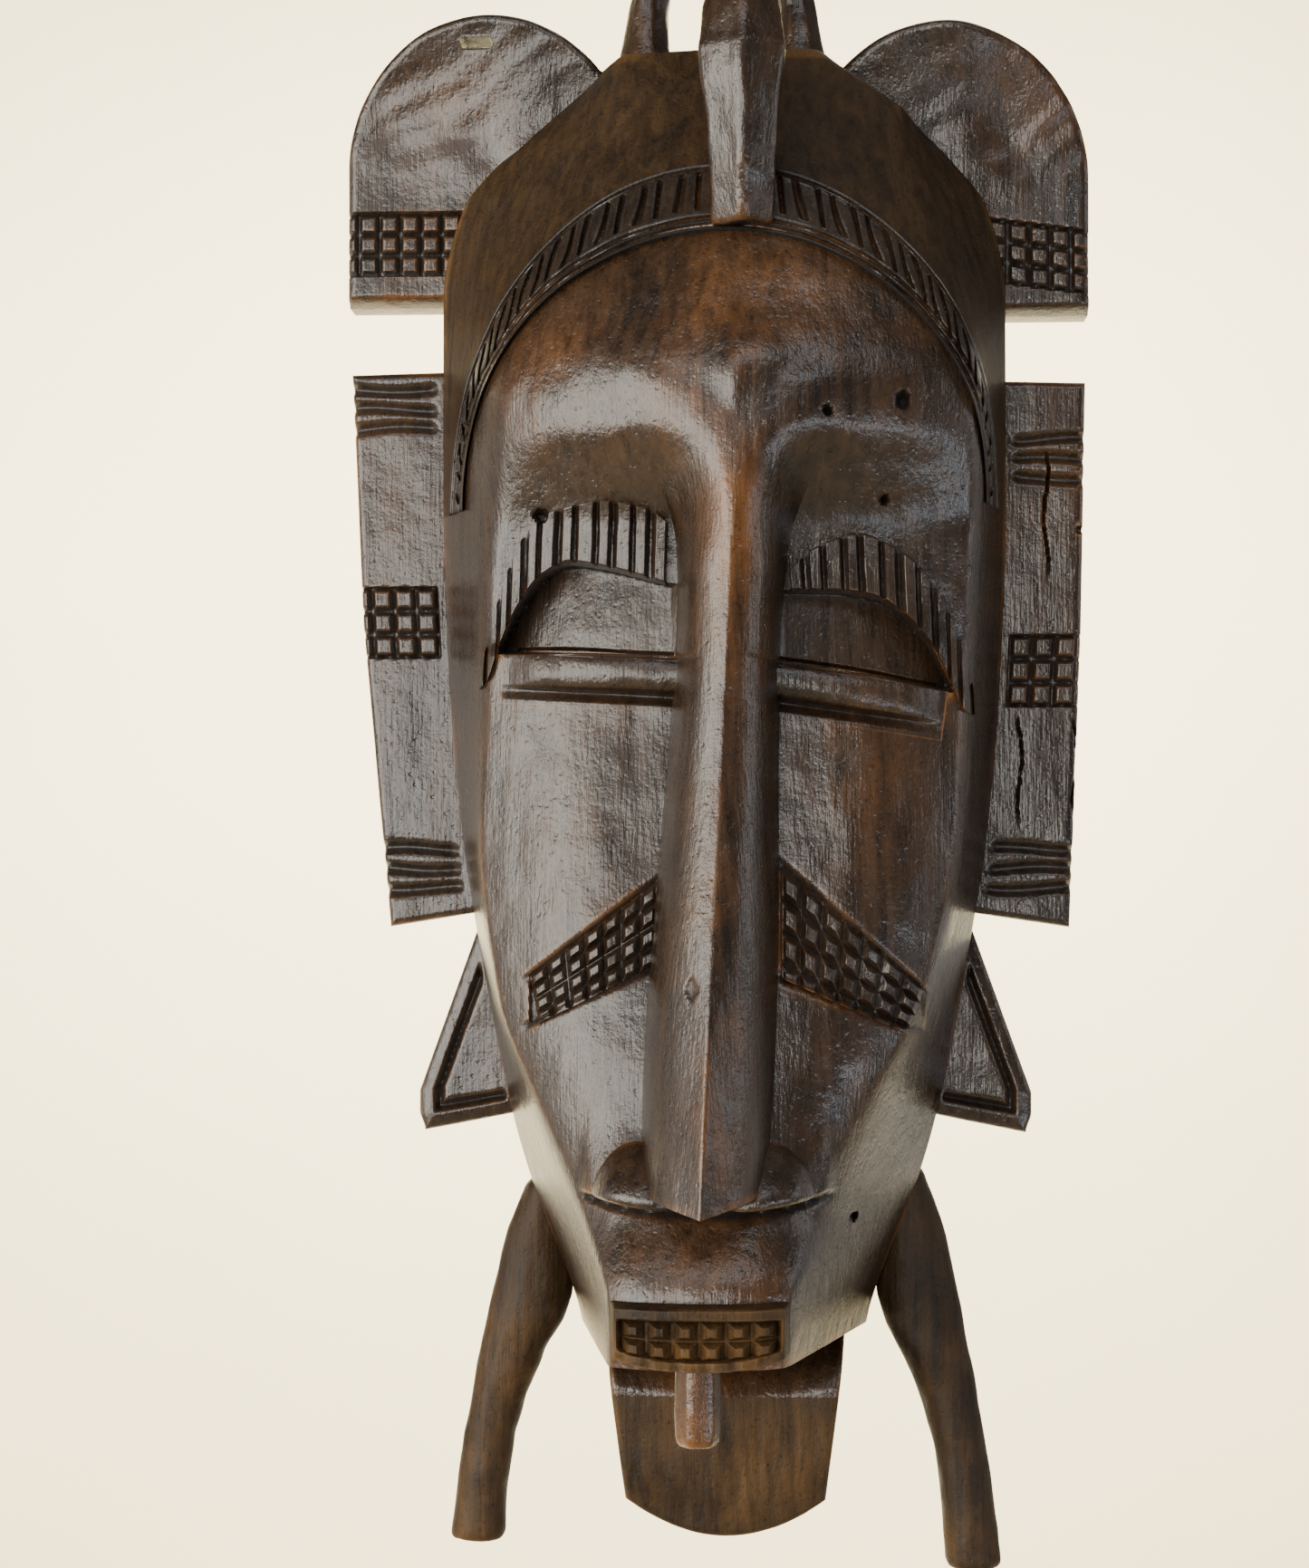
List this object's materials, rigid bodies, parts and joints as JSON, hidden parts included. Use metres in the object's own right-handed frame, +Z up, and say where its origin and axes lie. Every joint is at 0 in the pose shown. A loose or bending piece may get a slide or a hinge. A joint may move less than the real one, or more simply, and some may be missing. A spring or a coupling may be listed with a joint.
{
  "type": "carved wooden face mask",
  "caption": "Carved dark wooden face mask with a tall narrow face, side wings, legs and a bird crest, hollowed at the back with a wall hanger.",
  "frame": {"origin": "where a wall hook carries the hanger ring, on the back plane", "axes": "+X right as seen from the front, +Z up, the front faces -Y, the wall is the plane y = 0"},
  "size_m": [0.164, 0.084, 0.39],
  "materials": {
    "carved_wood": "satin",
    "worn_wood": "satin",
    "hanger_metal": "satin"
  },
  "bodies": {
    "mask": {"face_shell": "carved_wood", "crown": "carved_wood", "hair_band": "carved_wood", "lower_lid_left": "carved_wood", "lower_lid_right": "carved_wood", "nose": "carved_wood", "nostril_left": "carved_wood", "nostril_right": "carved_wood", "mouth": "carved_wood", "neck_panel": "carved_wood", "leg_left": "carved_wood", "leg_right": "carved_wood", "upper_wing_left": "carved_wood", "upper_wing_right": "carved_wood", "side_wing_left": "carved_wood", "side_wing_right": "carved_wood", "ear_fin_left": "carved_wood", "ear_fin_right": "carved_wood", "crest_leg_left": "carved_wood", "crest_leg_right": "carved_wood", "crest_body": "carved_wood", "crest_neck": "carved_wood", "crest_head": "carved_wood", "crest_tail": "carved_wood", "brow_left": "worn_wood", "brow_right": "worn_wood", "teeth": "worn_wood", "lip_peg": "worn_wood", "hanger_strap": "hanger_metal", "hanger_screw": "hanger_metal"},
    "ring": {"hanger_ring": "hanger_metal"}
  },
  "joints": [
    {"name": "ring_hinge", "type": "hinge", "parent": "mask", "child": "ring", "pos_m": [0, -0.002, -0.0072], "axis": [-1, 0, 0], "range_deg": [0, 170]}
  ]
}
